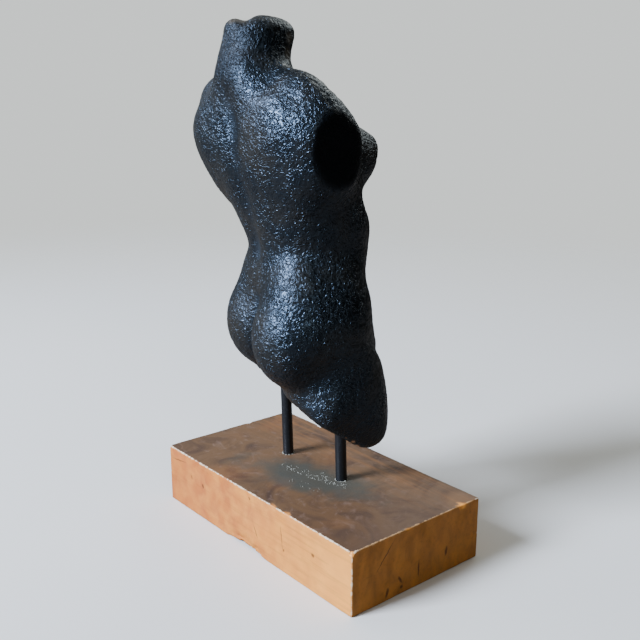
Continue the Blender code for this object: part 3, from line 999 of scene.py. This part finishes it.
@dataclass
class BaseBlock:
    """The wooden block, with rubbed arrises, small breaks and the sockets of the rods."""

    wood: Material
    fine: float = 0.55 * MM
    coarse: float = 2.4 * MM
    band: float = 4.0 * MM
    rounding: float = 1.15 * MM
    rounding_change: float = 0.55 * MM
    unevenness: float = 0.22 * MM
    socket_gap: float = 0.3 * MM
    socket_sides: int = 48
    name: str = "base_block_oiled"
    chips: tuple[Chip, ...] = (
        Chip((-120, -46, 50), 5.0, 1.6), Chip((20, 65, 0), 12.0, 1.3), Chip((6, 65, 0), 13.0, 2.0),
        Chip((-7, 65, 0), 9.0, 1.5), Chip((-30, 65, 50), 4.0, 0.8), Chip((-47, 65, 50), 5.0, 0.9),
        Chip((-120, 65, 50), 3.5, 1.0), Chip((120, 65, 50), 3.0, 0.9), Chip((-120, 12, 50), 3.0, 0.6),
        Chip((70, -65, 50), 5.0, 1.0), Chip((120, -20, 50), 4.0, 0.9))

    def build(self, corners: tuple[Vector, Vector], rods: list[Rod]) -> Solid:
        """Makes the block in its packed box.

        Args:
            corners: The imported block's lowest and highest corners.
            rods: The rods that stand in it.

        Returns:
            The block.
        """
        low, high = (np.array(corner) for corner in corners)
        middle = (low + high) / 2
        half = (high - low) / 2
        raw = self._box(half)
        points = self._worn(points_of(raw.data), half)
        set_points(raw.data, points + middle)
        cutters = [self._socket(rod) for rod in rods]
        for cutter in cutters:
            cut = raw.modifiers.new("socket", "BOOLEAN")
            cut.operation, cut.solver, cut.object = "DIFFERENCE", "EXACT", cutter
        made = settled(raw, self.name)
        for cutter in cutters:
            bpy.data.objects.remove(cutter)
        return finished(made, self.wood, CREASE)

    def _lines(self, half: float) -> np.ndarray:
        """Grid lines across a side: close together near its ends and wider between."""
        edge = np.arange(0.0, self.band, self.fine)
        inner = half - self.band
        wide = np.linspace(-inner, inner, max(3, round(2 * inner / self.coarse) + 1))
        return np.concatenate([-half + edge, wide, (half - edge)[::-1]])

    def _box(self, half: np.ndarray) -> Solid:
        """A closed box whose faces are gridded, closer together near the arrises."""
        lines = [self._lines(h) for h in half]
        whole = bmesh.new()
        for axis in range(3):
            u, v = [i for i in range(3) if i != axis]
            for side in (-1, 1):
                level = side * half[axis]
                rows = [[whole.verts.new(np.insert((a, b), axis, level)) for b in lines[v]] for a in lines[u]]
                for above, below in zip(rows, rows[1:]):
                    for i in range(len(above) - 1):
                        whole.faces.new((above[i], above[i + 1], below[i + 1], below[i]))
        bmesh.ops.remove_doubles(whole, verts=whole.verts, dist=0.02 * MM)
        bmesh.ops.recalc_face_normals(whole, faces=whole.faces)
        return object_from(whole, "block_skin")

    def _worn(self, points: np.ndarray, half: np.ndarray) -> np.ndarray:
        """Rounds the arrises unevenly, sinks the faces a little and breaks the chips away."""
        radius = (self.rounding + self.rounding_change * noise_at(points, 55.0))[:, None]
        inner = np.clip(points, -half + radius, half - radius)
        out = points - inner
        out /= np.linalg.norm(out, axis=1)[:, None]
        rounded = inner + radius * out
        sink = self.unevenness * np.clip(0.5 + noise_at(points, 21.0, (3, 5, 7)), 0.0, 1.0)
        sink[points[:, 2] < -half[2] + 0.1 * MM] = 0.0
        rounded -= out * sink[:, None]
        for chip in self.chips:
            place = np.array(chip.middle_mm) * MM - np.array((0.0, 0.0, half[2]))
            far = np.linalg.norm(points - place, axis=1) * (1 + 0.5 * noise_at(rounded, 420.0))
            depth = chip.depth_mm * MM * (1 - ease(far, 0.35 * chip.radius_mm * MM, chip.radius_mm * MM))
            inward = -np.sign(place) * (np.abs(place) > half - 0.5 * MM)
            rounded += depth[:, None] * inward * 0.7
        return rounded

    def _socket(self, rod: Rod) -> Solid:
        """The cutter of one rod's socket."""
        axis = (rod.head - rod.foot).normalized()
        foot = rod.foot - axis * self.socket_gap
        length = (rod.head - rod.foot).length
        radius = rod.radius + self.socket_gap
        whole = bmesh.new()
        bmesh.ops.create_cone(
            whole, cap_ends=True, segments=self.socket_sides, radius1=radius, radius2=radius, depth=length)
        turn = Vector((0, 0, 1)).rotation_difference(axis).to_matrix().to_4x4()
        bmesh.ops.transform(whole, matrix=Matrix.Translation(foot + axis * length / 2) @ turn, verts=whole.verts)
        return object_from(whole, "socket")


@dataclass(frozen=True)
class CrumbPatch:
    """A strip of crumbs on the block's top."""

    middle_mm: tuple[float, float]
    length_mm: float
    width_mm: float
    turn: float
    per_square_mm: float
    seed: int


@dataclass
class GlueCrumbs:
    """Crumbs of dried glue between the rods, and the beads round their feet."""

    glue: Material
    grain: float = 0.37 * MM
    bead: float = 0.62 * MM
    bead_count: int = 30
    patches: tuple[CrumbPatch, ...] = (
        CrumbPatch((-8.5, 7.8), 68.0, 11.0, 0.23, 0.55, 3), CrumbPatch((-17.0, 24.0), 36.0, 8.0, 0.10, 0.22, 8),
        CrumbPatch((-26.0, 2.0), 34.0, 9.0, 0.05, 0.45, 12))

    def crumbs(self, top: float) -> list[Solid]:
        """Scatters the crumbs.

        Args:
            top: The height of the block's top.

        Returns:
            One object for each patch.
        """
        tree = self._scatter()
        made = []
        for number, patch in enumerate(self.patches, 1):
            x, y = patch.middle_mm
            piece = through_tree(
                mesh_object("crumb_seed"), tree,
                {
                    "Middle": Vector((x * MM, y * MM, top)), "Turn": Vector((0.0, 0.0, patch.turn)),
                    "Length": patch.length_mm * MM, "Width": patch.width_mm * MM,
                    "Density": patch.per_square_mm / MM**2, "Grain": self.grain, "Seed": patch.seed},
                f"glue_crumbs_{number}")
            made.append(finished(piece))
        return made

    def beads(self, rod: Rod, top: float, seed: int) -> Solid:
        """Sets a broken ring of beads round a rod's foot.

        Args:
            rod: The rod.
            top: The height of the block's top.
            seed: The seed of the beads' sizes.

        Returns:
            The ring.
        """
        axis = (rod.head - rod.foot).normalized()
        middle = rod.foot + axis * ((top - rod.foot.z) / axis.z)
        piece = through_tree(
            mesh_object("bead_seed"), self._ring(),
            {"Middle": middle, "Radius": rod.radius + 0.5 * self.bead, "Bead": self.bead, "Seed": seed},
            f"{rod.node}_beads")
        return finished(piece)

    def _lumps(self, tree: Tree, points: Source, size: Source, seed: Source) -> Source:
        """Puts an uneven lump on each point.

        Args:
            tree: The tree.
            points: The points.
            size: The largest lump's radius.
            seed: The seed of the sizes and turns.

        Returns:
            The realised and dressed lumps.
        """
        ball = add(tree, "GeometryNodeMeshIcoSphere", {"Radius": 1.0, "Subdivisions": 2})
        dent = add(
            tree, Kind.NOISE, {"Vector": add(tree, "GeometryNodeInputPosition"), "Scale": 1.3, "Detail": 1.0})
        lump = pushed(tree, ball, dent)
        turn = add(
            tree, "FunctionNodeRandomValue", {0: (0.0, 0.0, 0.0), 1: (6.28, 6.28, 6.28), "Seed": seed},
            data_type="FLOAT_VECTOR")
        share = add(tree, "FunctionNodeRandomValue", {2: 0.22, 3: 0.72, "Seed": seed}, data_type="FLOAT")
        scale = add(tree, Kind.TIMES, (share, size))
        spread = add(
            tree, "GeometryNodeInstanceOnPoints",
            {"Points": points, "Instance": lump, "Rotation": turn, "Scale": scale})
        real = add(tree, "GeometryNodeRealizeInstances", {"Geometry": spread})
        smooth = add(tree, "GeometryNodeSetShadeSmooth", {"Geometry": real})
        return add(tree, "GeometryNodeSetMaterial", {"Geometry": smooth, "Material": self.glue})

    def _scatter(self) -> Tree:
        """The tree that scatters crumbs over a strip, in clusters."""
        tree, (_, middle, turn, length, width, density, grain, seed), outputs = open_tree(
            "crumbs", Vector=("Middle", "Turn"), Float=("Length", "Width", "Density", "Grain"), Int=("Seed",))
        strip = add(
            tree, "GeometryNodeMeshGrid", {"Size X": length, "Size Y": width, "Vertices X": 60, "Vertices Y": 12})
        turned = add(tree, "GeometryNodeTransform", {"Geometry": strip, "Rotation": turn, "Translation": middle})
        drift = add(
            tree, Kind.NOISE, {"Vector": add(tree, "GeometryNodeInputPosition"), "Scale": 260.0, "Detail": 2.0})
        cluster = add(tree, Kind.RANGE, (drift, 0.44, 0.62))
        points = add(
            tree, "GeometryNodeDistributePointsOnFaces",
            {
                "Mesh": turned, "Distance Min": 0.35 * MM, "Density Max": density, "Density Factor": cluster,
                "Seed": seed}, distribute_method="POISSON")
        feed(outputs, (self._lumps(tree, points, grain, seed),))
        return tree

    def _ring(self) -> Tree:
        """The tree that sets beads round a rod, with gaps."""
        tree, (_, middle, radius, bead, seed), outputs = open_tree(
            "beads", Vector=("Middle",), Float=("Radius", "Bead"), Int=("Seed",))
        circle = add(tree, "GeometryNodeMeshCircle", {"Vertices": self.bead_count, "Radius": radius})
        placed = add(tree, "GeometryNodeTransform", {"Geometry": circle, "Translation": middle})
        kept = add(tree, "FunctionNodeRandomValue", {6: 0.72, "Seed": seed}, data_type="BOOLEAN")
        points = add(tree, "GeometryNodeMeshToPoints", {"Mesh": placed, "Selection": kept})
        feed(outputs, (self._lumps(tree, points, bead, seed),))
        return tree


@dataclass
class Studio:
    """The pale floor, the soft lights and the camera."""

    floor_colour: str = "#E9E5DE"
    bounce_colour: str = "#6A6158"
    wall_colour: str = "#D8DCDB"
    dim_colour: str = "#2E2A26"
    bright_side: Triple = (0.60, 0.50, 0.62)
    floor_half: float = 3.0
    floor_clear: tuple[float, float] = (0.5, 1.9)
    lens_pixels: float = 880.69
    image_pixels: float = 640.0
    sensor_mm: float = 36.0
    camera_place: Triple = (-0.51534, 0.42098, 0.35329)
    camera_yaw: float = math.radians(129.678)
    camera_pitch: float = math.radians(14.877)
    aim: Triple = (0.0, 0.0, 0.22)

    def build(self) -> None:
        """Sets the stage, the lights and the camera."""
        self._floor()
        self._world()
        self._light("window", (0.84, 3.30, 2.26), (1.30, 1.80), 540.0, "#DAE8FF")
        self._light("sky", (3.4, 1.2, 2.6), (2.4, 2.4), 40.0, "#DCE8FF")
        self._light("room", (-3.3, 1.2, 1.6), (0.6, 0.6), 17.0, "#E9EFE8")
        self._light("far wall", (0.71, -2.66, 2.15), (2.4, 1.6), 36.0, "#E9EDE6")
        self._camera()

    def _floor(self) -> None:
        """The pale plain floor."""
        mesh = bpy.data.meshes.new("studio_floor")
        h = self.floor_half
        mesh.from_pydata([(-h, -h, 0), (h, -h, 0), (h, h, 0), (-h, h, 0)], [], [(0, 1, 2, 3)])
        floor = mesh_object("studio_floor", mesh)
        material, tree, shader, place = open_material("matt studio paper")
        fibre = add(tree, Kind.NOISE, {"Vector": place, "Scale": 900.0, "Detail": 2.0})
        bump = add(tree, "ShaderNodeBump", {"Strength": 0.1, "Distance": 0.1 * MM, "Height": fibre})
        seen = add(tree, "ShaderNodeLightPath").outputs["Is Camera Ray"]
        tone = layered(tree, self.bounce_colour, (seen, self.floor_colour))
        feed(shader, {"Base Color": tone, "Roughness": 0.85, "Normal": bump})
        out = add(tree, Kind.LENGTH, (place,))
        solid = add(tree, Kind.EASE, (out, self.floor_clear[0], self.floor_clear[1], 1.0, 0.0))
        feed(shader, {"Alpha": solid})
        mesh.materials.append(material)

    def _world(self) -> None:
        """The pale surroundings."""
        world = bpy.data.worlds.new("pale surroundings")
        bpy.context.scene.world = world
        world.use_nodes = True
        tree = world.node_tree
        tree.nodes.clear()
        ahead = add(tree, "ShaderNodeTexCoord").outputs["Generated"]
        side = add(tree, Kind.DOT, (ahead, self.bright_side))
        share = add(tree, Kind.EASE, (side, -0.35, 0.65))
        colour = layered(tree, self.dim_colour, (share, self.wall_colour))
        around = add(tree, "ShaderNodeBackground", {"Color": colour, "Strength": 0.36})
        behind = add(tree, "ShaderNodeBackground", {"Color": self.wall_colour, "Strength": 1.35})
        seen = add(tree, "ShaderNodeLightPath").outputs["Is Camera Ray"]
        both = add(tree, "ShaderNodeMixShader", {0: seen, 1: around, 2: behind})
        add(tree, "ShaderNodeOutputWorld", {"Surface": both})

    def _light(self, name: str, place: Triple, size: tuple[float, float], power: float, colour: str) -> None:
        """Adds a soft rectangular light that faces the figure.

        Args:
            name: The light's name.
            place: Where it hangs.
            size: Its width and height.
            power: Its power in watts.
            colour: Its sRGB colour.
        """
        lamp = bpy.data.lights.new(name, "AREA")
        lamp.shape = "RECTANGLE"
        lamp.size, lamp.size_y = size
        lamp.energy = power
        lamp.color = linear(colour)[:3]
        made = bpy.data.objects.new(name, lamp)
        made.location = place
        made.rotation_euler = (Vector(self.aim) - Vector(place)).to_track_quat("-Z", "Y").to_euler()
        bpy.context.scene.collection.objects.link(made)

    def _camera(self) -> None:
        """The camera at the picture's viewing angle."""
        lens = bpy.data.cameras.new("camera")
        lens.sensor_width = self.sensor_mm
        lens.lens = self.lens_pixels / self.image_pixels * self.sensor_mm
        lens.clip_start = 0.01
        yaw, pitch = self.camera_yaw, self.camera_pitch
        ahead = Vector((math.sin(yaw) * math.cos(pitch), math.cos(yaw) * math.cos(pitch), -math.sin(pitch)))
        right = Vector((math.cos(yaw), -math.sin(yaw), 0.0))
        up = right.cross(ahead)
        made = bpy.data.objects.new("camera", lens)
        place = Matrix((right, up, -ahead)).transposed().to_4x4()
        place.translation = Vector(self.camera_place)
        made.matrix_world = place
        bpy.context.scene.collection.objects.link(made)
        bpy.context.scene.camera = made


def clear_startup() -> None:
    """Removes what Blender's own startup scene holds."""
    for obj in list(bpy.data.objects):
        bpy.data.objects.remove(obj)


def settle(piece: Solid, slot: Slot, *nodes: str) -> None:
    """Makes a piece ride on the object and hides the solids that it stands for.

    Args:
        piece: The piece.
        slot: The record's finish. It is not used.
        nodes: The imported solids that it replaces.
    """
    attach(piece, "root")
    if nodes:
        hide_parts(*nodes)


def main() -> None:
    """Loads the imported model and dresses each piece."""
    logging.basicConfig(level=logging.INFO, format="%(message)s")
    clear_startup()
    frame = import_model()
    nodes = frame["nodes"]
    rods = [Rod.read(nodes[name]) for name in ("rod_left", "rod_right")]

    torso = Torso(CrawledGlaze().build()).build(nodes["torso"], rods)
    settle(torso, Slot.CLAY, "torso")

    block = BaseBlock(OiledWood().build()).build(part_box("base_block"), rods)
    settle(block, Slot.WOOD, "base_block")

    maker = SteelRods(BlackenedSteel().build())
    for rod in rods:
        settle(maker.build(rod), Slot.STEEL, rod.node)

    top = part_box("base_block")[1].z
    glue = GlueCrumbs(DriedGlue().build())
    for piece in glue.crumbs(top):
        settle(piece, Slot.WOOD)
    for seed, rod in enumerate(rods, 5):
        settle(glue.beads(rod, top, seed), Slot.WOOD)

    Studio().build()


if __name__ == "__main__":
    main()
